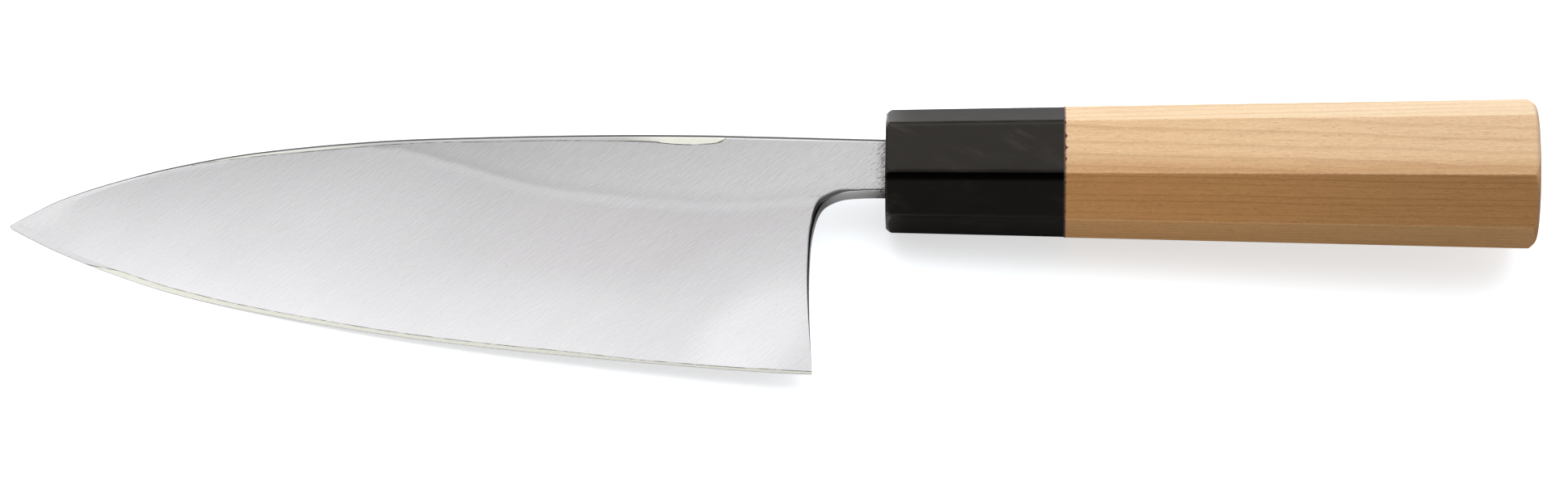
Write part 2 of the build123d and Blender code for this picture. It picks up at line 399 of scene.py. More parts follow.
def iron_ring(a, whole):
    """Section of the iron: weld, border, back, spine, flat, bevel and lower wall. Whole: no steel in the section."""
    walled = a.welded | whole
    high = np.where(whole, a.back_start_z, a.start_weld)
    border = np.where(whole, a.start, a.border)
    rows = []
    for way in stretch(np.where(walled, a.wall_inset(high), a.weld), border, weld_count):
        level = np.where(a.welded, high, a.weld_z(way))
        rows.append(a.row(way, np.where(whole, a.back_start_z, level)))
    rows += back_rows(a, border, a.end, iron_counts)
    corners = [(turn, a.spine_ease, a.back(a.end), -1) for turn in wall_steps[1:]]
    corners += [(turn, a.front_ease, a.front(a.front_end), 1) for turn in wall_steps[::-1]]
    for turn, ease, z, side in corners:
        rows.append(a.row(1 - ease * (1 - np.sin(turn)) * a.top_inset, z + side * ease * (1 - np.cos(turn))))
    rows += a.front_rows(stretch(a.front_end, a.ridge, flat_count)[1:])
    bevel_end = np.where(walled, a.face_ease * a.inset, a.weld)
    rows += a.front_rows(stretch(a.ridge, bevel_end, bevel_count)[1:])
    for z in a.wall_levels()[1:-1]:
        z = np.minimum(z, high)
        way = np.where(walled, a.wall_inset(z), a.weld)
        rows.append(a.row(way, np.where(walled, z, a.front(a.weld))))
    return rows


def ring_grid(rows):
    """A list of rows, each a line of points along the blade, as one array of rings."""
    return np.stack([np.stack(np.broadcast_arrays(*row), axis=-1) for row in rows], axis=1)


def round_tip(rings):
    """The last bit of the tip shrinks along a quarter circle onto one point."""
    end = np.array(-heel_setback - blade_length)
    centre = np.array(((outline(end)[0] + outline(end)[1]) / 2, back_z - tip_depth))
    way = np.clip((rings[..., 0:1] - end) / tip_round, 0, 1)
    scale = np.sqrt(1 - (1 - way) ** 2)
    rings[..., 1:] = centre + scale * (rings[..., 1:] - centre)
    return rings


join_distance = 2e-7
sharp_turn = np.radians(30)


def placed(name, data):
    """A new object in the scene."""
    made = bpy.data.objects.new(name, data)
    bpy.context.scene.collection.objects.link(made)
    return made


def skin(name, rings, node_names, closed_path=False, marks=None):
    """A closed mesh from rings of points: four-sided faces between neighbours, and a face over each open end."""
    stations, count, _ = rings.shape
    mesh = bpy.data.meshes.new(name)
    number = np.arange(stations * count).reshape(stations, count)
    after = np.roll(number, -1, axis=1)
    ahead = np.roll(number, -1, axis=0)
    ahead_after = np.roll(after, -1, axis=0)
    quads = np.stack((number, after, ahead_after, ahead), axis=-1)
    quads = quads if closed_path else quads[:-1]
    faces = quads.reshape(-1, 4).tolist()
    if not closed_path:
        faces += [number[0, ::-1].tolist(), number[-1].tolist()]
    flat = rings.reshape(-1, 3)
    mesh.from_pydata(laid(flat).tolist(), [], faces)
    local = mesh.attributes.new("local", "FLOAT_VECTOR", "POINT")
    local.data.foreach_set("vector", flat.ravel())
    for label, values in (marks or {}).items():
        layer = mesh.attributes.new(label, "FLOAT", "POINT")
        layer.data.foreach_set("value", np.asarray(values, dtype=float).ravel())
    work = bmesh.new()
    work.from_mesh(mesh)
    bmesh.ops.remove_doubles(work, verts=work.verts, dist=join_distance)
    bmesh.ops.dissolve_degenerate(work, edges=work.edges, dist=join_distance / 2)
    bmesh.ops.recalc_face_normals(work, faces=work.faces)
    work.to_mesh(mesh)
    work.free()
    mesh.shade_smooth()
    mesh.set_sharp_from_angle(angle=sharp_turn)
    piece = placed(name, mesh)
    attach(piece, "root")
    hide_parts(*node_names)
    return piece


# How bright the painted highlight on the rim along the spine is: share of the blade's length from the heel, share of
# the full highlight
rim_highlight_paint = [(0.19, 1.0), (0.24, 0.1), (0.56, 0.0), (0.61, 0.7), (0.78, 0.7)]
spine_rim_end = 0.78
# Share of the full painted highlight on the rim along the edge
edge_highlight_paint = 0.9

# The change of tone at the border sags below the weld in the middle of the blade: by how much, where, how widely
sag_depth, sag_place, sag_width = 1.25, 0.365, 0.09

# How near a point has to be to a surface to lie on it, and how far off a border its mark still counts
near_surface = 0.02
mark_reach = 3

# Where the edge's rim and its painted highlight fade towards the tip, and how far down the wall behind the heel gets
# painted shade
fade_start, fade_end, fade_width = 0.85, 0.92, 1.4
painted_shade_start, painted_shade_end, painted_shade_share = 4.0, 8.0, 0.05


def blade_marks(rings):
    """What the finish follows: how far a point lies onto a rim, whether it faces up, on the bevel or elsewhere, and
    where painted highlight and painted shade go.
    """
    x, y, z = np.moveaxis(rings, -1, 0)
    share = from_heel(x)
    on_back = np.abs(z - back_height(x, y)) < near_surface
    on_front = np.abs(z - face_height(x, y)) < near_surface
    wall = ~on_back & ~on_front
    edge = edge_rim_line(x) - y - fade_width * smooth(fade_start, fade_end, share)
    spine = np.where(share < spine_rim_end, y - spine_rim_line(x), -2 * mark_reach)
    sag = sag_depth * np.exp(-(((share - sag_place) / sag_width) ** 2))
    return {
        "rim": np.clip(np.maximum(edge, spine), -mark_reach, mark_reach),
        "above": np.clip(y - border_line(x) + sag, -mark_reach, mark_reach),
        # The spine's wall and the wall behind the heel: masks for painted shade
        "spine": wall & (y > outline(x)[0] - mark_reach),
        "choil": wall * (share < painted_shade_share) * smooth(painted_shade_start, painted_shade_end, -y),
        # How strong the rims' painted highlight is
        "rim_highlight": np.where(spine > edge, np.interp(share, *np.transpose(rim_highlight_paint)), edge_highlight_paint),
        "back": on_back,
        "bevel": on_front & (y < ridge_line(x) + near_surface),
    }


# Millimetres from the tip of the first lines, which stand close together round it
tip_lines = np.array((0, 0.01, 0.03, 0.07, 0.13, 0.2, 0.3, 0.6)) / blade_length
edge_shares = 1 - np.concatenate((tip_lines[:-1], np.linspace(tip_lines[-1], 1, edge_lines)))
choil_end = choil_run[-1]
choil_runs = np.arange(choil_step, choil_end, choil_step)


def blade_lines(runs):
    """All lines from the tip to the given runs along the choil, with their places along it (0 on the edge)."""
    lines = np.concatenate((edge_line(edge_shares), choil_line(runs)))
    return Across(lines, np.concatenate((np.zeros(len(edge_shares)), runs)))


# The steel ends where its border runs out over the choil: found on fine lines, then made a line of its own
search_start = 20
search_step = 0.02
least_gap = 0.1
fine_runs = np.arange(search_start, choil_end, search_step)
fine = Across(choil_line(fine_runs), fine_runs)
steel_end = fine_runs[np.argmax(cross(fine.lines, border_line) <= fine.start)]
steel_runs = np.append(choil_runs[choil_runs < steel_end - least_gap], steel_end)
iron_runs = np.concatenate((steel_runs, choil_runs[choil_runs > steel_end + least_gap], [choil_end]))

iron_lines = blade_lines(iron_runs)
steel_count = len(edge_shares) + len(steel_runs)
bare = ring_grid(iron_ring(iron_lines, False))
whole = ring_grid(iron_ring(iron_lines, True))
iron_rings = round_tip(np.concatenate((bare[:steel_count], whole[steel_count - 1:])))

# The tang: its height and thickness behind the step, before its end and at its end
tang_start = (9.86, 3.6)
tang_end = (4.5, 2.4)
tang_tip = (2.7, 1.6)
tang_length = 85.0
tang_tip_length = 1.2
tang_quarter = 24.0
neck_height = 10.66
neck_middle = 0.53


def tang_rings(neck):
    """The neck's section stepped in, tapered to the tang's end, and drawn in more over the last bit."""
    places = np.array((neck[0, 0], tang_quarter, tang_length - tang_tip_length, tang_length))
    first, last, tip = np.array((tang_start, tang_end, tang_tip))
    sizes = np.array((first, 0.75 * first + 0.25 * last, last, tip))
    rings = np.repeat(neck[None], len(places), axis=0)
    rings[..., 0] = places[:, None]
    rings[..., 1] = neck_middle + (neck[:, 1] - neck_middle) * sizes[:, :1] / neck_height
    rings[..., 2] = neck[:, 2] * sizes[:, 1:] / blade_thickness
    return rings


iron_rings = np.concatenate((iron_rings, tang_rings(iron_rings[-1])))
blade_body = skin("blade_iron", iron_rings, ["blade_body"], marks=blade_marks(iron_rings))


class Nodes:
    """The node tree of a material or a world, with a short way to add each kind of step."""

    def __init__(self, owner):
        owner.use_nodes = True
        self.tree = owner.node_tree

    def feed(self, node, inputs):
        """Gives a node its inputs: other nodes' outputs are linked, values set, colours made opaque."""
        for key, value in inputs.items():
            socket = node.inputs[key]
            if isinstance(value, bpy.types.NodeSocket):
                self.tree.links.new(value, socket)
            else:
                socket.default_value = (*value, 1) if socket.type == "RGBA" else value

    def add(self, kind, inputs, **settings):
        """One node with its settings and inputs, read by its outputs."""
        node = self.tree.nodes.new("ShaderNode" + kind)
        for name, value in settings.items():
            setattr(node, name, value)
        self.feed(node, inputs)
        return node.outputs

    def maths(self, operation, *numbers):
        """A Math node's result."""
        return self.add("Math", dict(enumerate(numbers)), operation=operation)[0]

    def times(self, product, *factors):
        """Numbers multiplied."""
        for factor in factors:
            product = self.maths("MULTIPLY", product, factor)
        return product

    def plus(self, value, factor, rest):
        """A number times a factor, plus the rest."""
        return self.maths("MULTIPLY_ADD", value, factor, rest)

    def rises(self, value, low, high, to_low=0, to_high=1):
        """A value that goes smoothly from one level to another between two values."""
        inputs = {"Value": value, 1: low, 2: high, 3: to_low, 4: to_high}
        return self.add("MapRange", inputs, interpolation_type="SMOOTHSTEP")[0]

    def mix(self, factor, first, second):
        """Two numbers mixed."""
        return self.add("Mix", {0: factor, 2: first, 3: second}, data_type="FLOAT")[0]

    def blend(self, factor, first, second):
        """Two colours mixed."""
        return self.add("Mix", {0: factor, 6: first, 7: second}, data_type="RGBA")[2]

    def coat(self, colour, layers):
        """A colour with others laid over it in turn, each by its share."""
        for share, layer in layers:
            colour = self.blend(share, colour, layer)
        return colour

    def vectors(self, operation, first, second):
        """A Vector Math node's result."""
        return self.add("VectorMath", {0: first, 1: second}, operation=operation)[0]

    def turn(self, place, angle):
        """A place turned about Z."""
        return self.add("VectorRotate", {"Vector": place, "Angle": angle}, rotation_type="Z_AXIS")[0]

    def axes(self, place):
        """A place's three numbers."""
        return self.add("SeparateXYZ", {0: place})


class Finish(Nodes):
    """A material."""

    def __init__(self, name):
        self.material = bpy.data.materials.new(name)
        super().__init__(self.material)

    def place(self):
        """The place on the knife in millimetres of the handle's frame."""
        return self.add("Attribute", {}, attribute_name="local")["Vector"]

    def mark(self, name):
        """A number kept on the mesh."""
        return self.add("Attribute", {}, attribute_name=name)["Fac"]

    def grain(self, angle, fineness, detail=3, offset=(0, 0, 0)):
        """Noise drawn out along one direction: the place turned about Z, then scaled along each axis."""
        scaled = self.vectors("MULTIPLY", self.turn(self.place(), angle), fineness)
        inputs = {"Vector": self.vectors("ADD", scaled, offset), "Scale": 1, "Detail": detail, "Roughness": 0.6}
        return self.add("TexNoise", inputs)[0]

    def surface(self, inputs, height=None, strength=0, distance=0):
        """The finished material: its shader's inputs, and a fine relief of a given depth in metres."""
        shader = self.tree.nodes["Principled BSDF"]
        self.feed(shader, inputs)
        if height is not None:
            relief = self.add("Bump", {"Height": height, "Strength": strength, "Distance": distance})
            self.feed(shader, {"Normal": relief[0]})
        return self.material


def back_tone(m, x, y, iron):
    """Tones of the back: the iron lighter to the neck and darker beside the border, the steel darker in its middle."""
    above = m.mark("above")
    soft = m.blend(m.rises(x, -95, -25), (0.615, 0.612, 0.622), (0.735, 0.727, 0.737))
    soft = m.blend(m.rises(above, 0.2, 2.9, 0.93, 1), (0, 0, 0), soft)
    lower = m.maths("SUBTRACT", y, m.rises(x, -44, -16, 0, 10))
    middle = m.times(m.rises(lower, -31, -18), m.rises(x, -120, -50), m.rises(above, -2.9, -0.8, 1, 0))
    return m.blend(iron, m.blend(middle, (0.713, 0.71, 0.723), (0.667, 0.652, 0.664)), soft)


def heel_reflection(m, broad, fine):
    """A painted reflection before the heel, where the back is brighter: a slanting oval with a ragged border."""
    place = m.turn(m.vectors("ADD", m.place(), (23, 33.5, 0)), -0.75)
    place = m.vectors("MULTIPLY", place, (0.055, 0.105, 0))
    away = m.add("VectorMath", {0: place}, operation="LENGTH")["Value"]
    return m.rises(m.plus(fine, 0.5, m.plus(broad, 0.4, away)), 0.85, 1.6, 1, 0)


def ground_metal(name, bevel_tone, bevel_rough):
    """Metal ground on the wheel and the stones: slanting fine lines on the back, long ones on the front."""
    m = Finish(name)
    back, rim, bevel = m.mark("back"), m.mark("rim"), m.mark("bevel")
    x, y, _ = m.axes(m.place())
    slant = np.radians(-41)
    broad = m.grain(slant, (0.045, 0.3, 1), 4)
    fine = m.grain(slant, (0.42, 2.2, 1), 5)
    hairs = m.grain(slant + 0.12, (0.6, 6.5, 1), 3, (7, 3, 0))
    cloud = m.grain(0.3, (0.035, 0.05, 1), 2, (3, 9, 0))
    speckle = m.grain(slant, (1, 3.5, 1), 4, (2, 2, 0))
    long_lines = m.grain(0, (0.05, 4, 4), 4)

    iron = m.rises(m.plus(broad, 1.6, m.mark("above")), 0.1, 1.3)
    scratch = m.maths("SUBTRACT", m.rises(hairs, 0.6, 0.7), m.rises(hairs, 0.4, 0.3, 0, 0.8))
    worn = m.plus(iron, 0.06, m.rises(x, -20, -4, 0.11, 0.26))
    level = m.plus(m.maths("SUBTRACT", fine, 0.5), worn, m.plus(broad, 0.07, 0.915))
    level = m.plus(scratch, 0.08, m.plus(cloud, 0.1, level))
    # Painted reflection: the back brightened in a patch before the heel
    level = m.times(level, m.plus(heel_reflection(m, broad, fine), 0.15, 1))
    level = m.mix(back, m.plus(long_lines, 0.16, 0.92), level)
    tone = m.blend(back, m.blend(bevel, (0.68, 0.68, 0.69), bevel_tone), back_tone(m, x, y, iron))
    colour = m.add("VectorMath", {0: tone, 3: level}, operation="SCALE")[0]

    near_mouth = m.plus(m.rises(x, -3, 0.6), 0.5, m.rises(x, -9, -3, 0, 0.12))
    on_rim = m.times(m.rises(rim, -0.03, 0.05), back)
    broken = m.rises(m.grain(0, (0.5, 0.5, 1), 2), 0.35, 0.6, 0.35, 1)
    # Painted shadow: a broken dark line along the inner side of each rim, where the hollow starts
    rim_edge_shadow = m.times(m.rises(m.maths("ABSOLUTE", rim), 0.03, 0.13, 1, 0), back, broken)
    # The rims are polished, and their colour is also a painted highlight: pale and warm, dulled where the highlight
    # mark is low
    polished = m.blend(m.grain(0.1, (0.35, 2.5, 1)), (0.9, 0.89, 0.77), (0.79, 0.78, 0.7))
    colour = m.coat(colour, [
        (m.rises(m.plus(near_mouth, 0.62, speckle), 0.62, 0.98, 0, 0.85), (0.1, 0.085, 0.075)),
        (m.times(on_rim, 0.85), m.blend(m.mark("rim_highlight"), (0.44, 0.44, 0.435), polished)),
        (m.times(rim_edge_shadow, 0.8), (0.1, 0.1, 0.095)),
        # Painted shade: the spine's wall darkened to grey
        (m.times(m.mark("spine"), 0.85), (0.22, 0.22, 0.22)),
        # Painted shade: the wall behind the heel darkened nearly to black
        (m.times(m.mark("choil"), 0.92), (0.03, 0.03, 0.032)),
    ])
    rough = m.mix(on_rim, m.mix(bevel, m.plus(fine, 0.12, 0.17), bevel_rough), 0.12)
    inputs = {"Base Color": colour, "Roughness": rough, "Metallic": 1}
    return m.surface(inputs, m.mix(back, long_lines, fine), 0.22, 0.00003)


blade_body.data.materials.append(ground_metal("soft_iron", (0.4, 0.4, 0.41), 0.45))


# Edge steel: the hard layer that holds the edge, forge-welded to the iron under it. On the back it reaches up to the
# wavy border, on the front it shows as the bright strip along the edge.
steel_lines = blade_lines(steel_runs)
steel_rings = round_tip(ring_grid(steel_ring(steel_lines)))
edge_steel = skin("edge_steel_layer", steel_rings, ["edge_steel"], marks=blade_marks(steel_rings))
edge_steel.data.materials.append(ground_metal("hard_steel", (0.74, 0.74, 0.75), 0.2))


# Horn ferrule: one block of black horn, cut to eight sides and polished. It is drilled for the grip's tenon and
# slotted for the tang, its mouth is chamfered all round, and it is glued to the grip.
handle_length = 120.66
mouth_height = 22.2
mouth_width = 20.5
butt_height = 26.7
butt_width = 24.8
side_flat_share = 0.462
top_flat_share = 0.355
ferrule_length = 33.0
side_points = 30
ease_points = 7
horn_ease = 1.7

# What half the handle's height grows with each millimetre; where the flank ends at the mouth, and what that grows
half_growth = (butt_height - mouth_height) / 2 / handle_length
flank_height = side_flat_share * mouth_height / 2
flank_growth = side_flat_share * half_growth


def eight_sided(x, ease):
    """Sections of the handle: eight flats between eased corners, each corner a parabola between its flats."""
    way = np.asarray(x, dtype=float)[:, None] / handle_length
    rise = (mouth_height + way * (butt_height - mouth_height)) / 2
    run = (mouth_width + way * (butt_width - mouth_width)) / 2
    flank, crown = side_flat_share * rise, top_flat_share * run
    ys = np.concatenate((flank, -flank, -rise, -rise, -flank, flank, rise, rise), axis=1)
    zs = np.concatenate((run, run, crown, -crown, -run, -run, -crown, crown), axis=1)
    corners = np.stack((ys, zs), axis=-1)
    nexts = np.roll(corners, -1, axis=1)
    sides = nexts - corners
    sides /= np.linalg.norm(sides, axis=-1, keepdims=True)
    before = np.roll(sides, 1, axis=1)
    reach = ease * np.tan(np.radians(22.5))
    starts, ends, fars = corners - reach * before, corners + reach * sides, nexts - reach * sides
    round_way = np.linspace(0, 1, ease_points)[:, None]
    flat_way = np.linspace(0, 1, side_points)[1:-1, None]
    start, corner, end, far = (part[:, :, None] for part in (starts, corners, ends, fars))
    rounded = (1 - round_way) ** 2 * start + 2 * round_way * (1 - round_way) * corner + round_way**2 * end
    flat = end + flat_way * (far - end)
    return np.concatenate((rounded, flat), axis=2).reshape(len(way), -1, 2)


def arris_mark(rings):
    """1 on the eased corners of every section, 0 on the flats between them."""
    one_side = np.concatenate((np.ones(ease_points), np.zeros(side_points - 2)))
    return np.broadcast_to(np.tile(one_side, 8), rings.shape[:2])


def turned(loops, radius):
    """Loops held inside a circle: the soft minimum of each point's distance from the axis and the radius."""
    size = np.linalg.norm(loops, axis=-1)
    sharp = 14
    held = -np.log(np.exp(-sharp * (size - radius)) + 1) / sharp + radius
    return loops * (held / size)[..., None]


def ring(directions, radius):
    """A circle about the axis, one point in each direction."""
    angle = np.arctan2(directions[:, 1], directions[:, 0])
    return radius * np.stack((np.cos(angle), np.sin(angle)), axis=-1)


def rectangle(directions, middle, height, thickness):
    """A slot's outline, one point in each direction: a superellipse so square that its corners are barely round."""
    way = ring(directions, 1)
    power = 14
    size = (np.abs(way / (height / 2, thickness / 2)) ** power).sum(axis=1, keepdims=True) ** (-1 / power)
    return (middle, 0) + size * way


def stack(loops):
    """Loops with their places along the axis, as one array of rings."""
    return np.stack([np.column_stack((np.broadcast_to(x, len(loop)), loop)) for x, loop in loops])


mouth_radius = 10.75
mouth_chamfer = 1.2
mouth_bevel = 0.35
chamfer_slope = 0.9
tenon_radius = 7.0
bore_radius = 7.05
neck_inset = 3.0
ferrule_wall = 10.0
mouth_depth = 0.2
mouth_flare = 0.3
pocket_margin = 0.8
room_margin = 1.2


def widened(size, margin):
    """A height and a thickness, both with a margin."""
    return size[0] + margin, size[1] + margin


# Openings for the blade: the pocket for its neck, the same at the mouth, and the room round its tang
pocket = widened((neck_height, blade_thickness), pocket_margin)
mouth = widened(pocket, mouth_flare)
tang_room = widened(tang_start, room_margin)


def ferrule_rings():
    """From the mouth back over the outside, round the rear, up the bore, the slot and the pocket, to the mouth.

    The chamfer is the eight sides held inside a cone, and its lip is drawn in by a power of the way to the mouth.
    """
    away = np.linspace(0, mouth_chamfer, 24)
    inset = mouth_bevel * np.maximum(0, 1 - away / mouth_bevel) ** 1.5
    scaled = eight_sided(away, horn_ease) * (1 - 2 * inset / mouth_height)[:, None, None]
    front = turned(scaled, (mouth_radius + chamfer_slope * away)[:, None])
    body_x = np.linspace(away[-1], ferrule_length, 20)[1:]
    body = eight_sided(body_x, horn_ease)
    around = body[-1]
    bore = ring(around, bore_radius)
    slot, neck, opening = (rectangle(around, neck_middle, *size) for size in (tang_room, pocket, mouth))
    loops = list(zip(away, front)) + list(zip(body_x, body))
    loops += [(ferrule_length, bore), (ferrule_wall, bore), (ferrule_wall, slot), (neck_inset, slot)]
    loops += [(neck_inset, neck), (mouth_depth, neck)]
    loops += [(0, opening + way * (front[0] - opening)) for way in (0, 0.25, 0.5, 0.75, 0.95)]
    return stack(loops)


horn_rings = ferrule_rings()
horn_marks = {"arris": arris_mark(horn_rings)}
horn_ferrule = skin("ferrule", horn_rings, ["horn_ferrule"], closed_path=True, marks=horn_marks)


def over_line(m, height, growth):
    """How far a place lies above a line that starts at a height and rises along the handle."""
    x, y, _ = m.axes(m.place())
    return m.maths("SUBTRACT", y, m.plus(x, growth, height))


def black_horn():
    """Polished black horn: nearly black, with pale cloudy streaks along the grain, fine rubbing marks and a painted
    dark reflection along one corner.
    """
    m = Finish("black_horn")
    streak = m.grain(0.5, (0.05, 0.35, 0.3), 4)
    cloud = m.grain(-0.4, (0.12, 0.2, 0.2), 3, (5, 2, 1))
    fine = m.grain(0.15, (0.4, 6, 6))
    waves = m.grain(0, (0.12, 0.25, 0.25), 2, (1, 8, 2))
    worn = m.times(m.mark("arris"), m.rises(cloud, 0.35, 0.65))
    # Painted dark reflection: a nearly black band along the lower corner of the side that faces up, made metallic so
    # that it reflects almost nothing
    above = over_line(m, -flank_height, -flank_growth)
    line = m.times(m.rises(above, 0, 0.25, 1, 0), m.rises(above, -1.3, -0.7))
    line = m.times(line, m.rises(m.axes(m.place())[2], 0, 1))
    colour = m.coat((0.0042, 0.0038, 0.0034), [
        (m.times(m.rises(streak, 0.45, 0.8), m.rises(cloud, 0.4, 0.75)), (0.034, 0.031, 0.027)),
        (m.times(worn, 0.15), (0.035, 0.032, 0.028)),
        (line, (0.004, 0.004, 0.004)),
    ])
    inputs = {
        "Base Color": colour,
        "Metallic": m.times(line, 0.95),
        "Roughness": m.plus(worn, 0.08, m.plus(fine, 0.06, m.plus(cloud, 0.14, 0.14))),
        "IOR": 1.43,
        "Specular Tint": (1, 0.91, 0.82),
    }
    return m.surface(inputs, m.plus(fine, 0.05, waves), 0.25, 0.0001)


horn_ferrule.data.materials.append(black_horn())


# Wood grip: pale straight-grained wood cut to eight sides that widen to the butt, its butt chamfered all round,
# sanded and left bare. A tenon at its front is glued into the ferrule, and it is bored out for the tang.
glue_thickness = 0.2
butt_radius = 12.3
butt_chamfer = 2.0
butt_lip = 0.45
butt_lip_length = 0.15
wood_ease = 0.35
shoulder_bevel = 0.7
joint_inner_share = 0.93
tenon_end_gap = 0.3
bedding_end = 1.5
year_width = 1.12

# Chips along the glue line on the side that faces up: height across the blade, depth and width
chips = [(5, 0.4, 0.9), (2.2, 0.68, 1.2), (-0.2, 0.68, 1.1), (-2.5, 0.6, 1), (-4.4, 0.3, 0.7)]


def chipped(around):
    """How far glue reaches into the wood at each point round it: fine roughness, some nicks, a wedge for each chip."""
    rng = np.random.default_rng(7)
    rough = rng.random(len(around)) * 0.06
    rare = rng.random(len(around))
    rough += np.where(rare > 0.96, 0.22, 0)
    upper = around[:, 1] > 0.9 * around[:, 1].max()
    for height, depth, width in chips:
        notch = depth * np.clip(1 - np.abs(around[:, 0] - height) / (width / 2), 0, 1)
        rough = np.where(upper, np.maximum(rough, notch), rough)
    return rough


joint_end = ferrule_length + glue_thickness
around_joint = eight_sided([joint_end], wood_ease)[0]
ragged = joint_end + chipped(around_joint)


def grip_rings():
    """From the middle of the butt over the outside to the front, down to the tenon, along it and into the bore.

    The butt's chamfer is the eight sides held inside a cone, and its lip is rounded by an exponential.
    """
    away = np.linspace(0, butt_chamfer, 30) ** 1.5 / butt_chamfer**0.5
    radius = butt_radius + butt_lip * (1 - np.exp(-away / butt_lip_length)) + chamfer_slope * away
    x = handle_length - away
    butt = turned(eight_sided(x, wood_ease), radius[:, None])
    middle = [(handle_length, butt[0] * share) for share in (0.05, 0.35, 0.65, 0.9)]
    body_x = np.concatenate((np.linspace(x[-1], joint_end + 1, 40)[1:], [joint_end + shoulder_bevel]))
    body = eight_sided(body_x, wood_ease)
    tenon = ring(around_joint, tenon_radius)
    room = rectangle(around_joint, neck_middle, *tang_room)
    narrow = rectangle(around_joint, neck_middle, *widened(tang_end, room_margin))
    loops = middle + list(zip(x, butt)) + list(zip(body_x, body))
    loops += [(ragged, around_joint), (joint_end, around_joint * joint_inner_share), (joint_end, tenon)]
    start = ferrule_wall + tenon_end_gap
    loops += [(start, tenon), (start, room * 0.97), (tang_length + bedding_end, narrow)]
    return stack(loops)


wood_rings = grip_rings()
wood_grip = skin("grip", wood_rings, ["wood_grip"], marks={"arris": arris_mark(wood_rings)})


def pale_wood():
    """Sanded pale wood: thin darker growth lines with soft ground between, fine pores along the grain, flecks, and
    painted light and shade on each side.
    """
    m = Finish("pale_wood")
    x, y, z = m.axes(m.place())
    across = m.plus(y, 0.416, m.times(z, 0.909))
    across = m.plus(m.grain(0, (0.018, 0.12, 0.12)), 1, across)
    across = m.plus(m.grain(0, (0.09, 0.5, 0.5), 2, (4, 0, 7)), 0.3, across)
    years = m.maths("DIVIDE", across, year_width)
    season = m.maths("FRACT", years)
    vary = m.add("TexWhiteNoise", {"W": m.maths("FLOOR", years)}, noise_dimensions="1D")["Value"]
    late = m.times(m.rises(season, 0.55, 0.92), m.rises(season, 0.93, 1, 1, 0), m.plus(vary, 0.8, 0.2))
    tone = m.grain(0, (0.012, 0.16, 0.16), 3, (2, 5, 1))
    streak = m.grain(0, (0.13, 4.5, 4.5), 4)
    pores = m.grain(0, (0.8, 5.5, 5.5), 3, (9, 1, 1))
    flecks = m.grain(0, (1.2, 3.6, 3.6), 3, (1, 6, 1))

    to_butt = m.rises(x, 45, 105)
    ground = m.blend(to_butt, (0.755, 0.51, 0.29), (0.755, 0.527, 0.32))
    darker = m.blend(to_butt, (0.705, 0.468, 0.257), (0.705, 0.485, 0.285))
    colour = m.coat(ground, [
        (m.rises(tone, 0.3, 0.7), darker),
        (m.times(late, m.rises(flecks, 0.35, 0.62, 0.35, 1), 0.66), (0.45, 0.255, 0.115)),
        (m.rises(streak, 0.42, 0.7, 0, 0.36), (0.5, 0.3, 0.15)),
        (m.rises(pores, 0.55, 0.68, 0, 0.45), (0.4, 0.23, 0.11)),
        (m.rises(flecks, 0.54, 0.7, 0, 0.38), (0.88, 0.67, 0.46)),
    ])

    # Painted light and shade on each side of the handle: the upper sides paler, the sides darker towards and below
    # their lower corners, the lower sides and the bottom recoloured, the lower sides darker towards the butt. A share
    # and a factor for each colour
    over = over_line(m, flank_height, flank_growth)
    above = over_line(m, -flank_height, -flank_growth)
    bottom = over_line(m, -mouth_height / 2, -half_growth)
    low = m.rises(above, -0.1, 0.1, 1, 0)
    painted_light_and_shade = [
        (m.rises(over, -0.1, 0.1), (1.05, 1.17, 1.34)),
        (m.rises(above, 0.1, 5, 1, 0), (0.78, 0.67, 0.55)),
        (low, (1.18, 1.075, 0.88)),
        (m.rises(bottom, 0, 0.2, 1, 0), (1.31, 1.58, 2.02)),
        (m.times(low, m.rises(x, 30, 120)), (0.8, 0.79, 0.78)),
    ]
    for share, factors in painted_light_and_shade:
        colour = m.blend(share, colour, m.vectors("MULTIPLY", colour, factors))

    butt = m.rises(x, handle_length - 1.06, handle_length + 0.04, 0, 0.8)
    soaked = m.rises(m.plus(flecks, -0.8, x), ferrule_length - 0.2, ferrule_length + 0.2, 0.75, 0)
    colour = m.coat(colour, [
        (butt, (0.32, 0.27, 0.24)),
        (m.times(m.mark("arris"), m.rises(flecks, 0.35, 0.65, 0, 0.15)), (0.86, 0.64, 0.42)),
        (soaked, (0.1, 0.04, 0.02)),
    ])
    inputs = {"Base Color": colour, "Roughness": m.plus(streak, 0.15, 0.5), "Specular IOR Level": 0.42}
    return m.surface(inputs, m.plus(pores, -0.8, m.plus(late, -0.5, streak)), 0.5, 0.00003)


wood_grip.data.materials.append(pale_wood())


# Glue joint: a thin film of dark glue between the ferrule's rear face and the wood's shoulder, left where the two
# were pressed together. It has soaked into the chips along the wood's end.
def glue_rings():
    """A flat washer: eight-sided outside with its ragged side to the wood, round inside."""
    front = eight_sided([ferrule_length], horn_ease)[0]
    bore = ring(around_joint, bore_radius)
    loops = [(ferrule_length, front), (ragged, around_joint), (joint_end, around_joint * joint_inner_share)]
    loops += [(joint_end, bore), (ferrule_length, bore)]
    return stack(loops)


glue_joint = skin("glue_film", glue_rings(), ["glue_joint"], closed_path=True)


def dark_glue():
    """Dark brown glue, uneven in tone and in gloss."""
    m = Finish("dark_glue")
    mottle = m.grain(0, (2, 1.5, 1.5))
    colour = m.blend(mottle, (0.03, 0.01, 0.006), (0.15, 0.055, 0.025))
    return m.surface({"Base Color": colour, "Roughness": m.plus(mottle, 0.3, 0.35)}, mottle, 0.5, 0.0001)


glue_joint.data.materials.append(dark_glue())


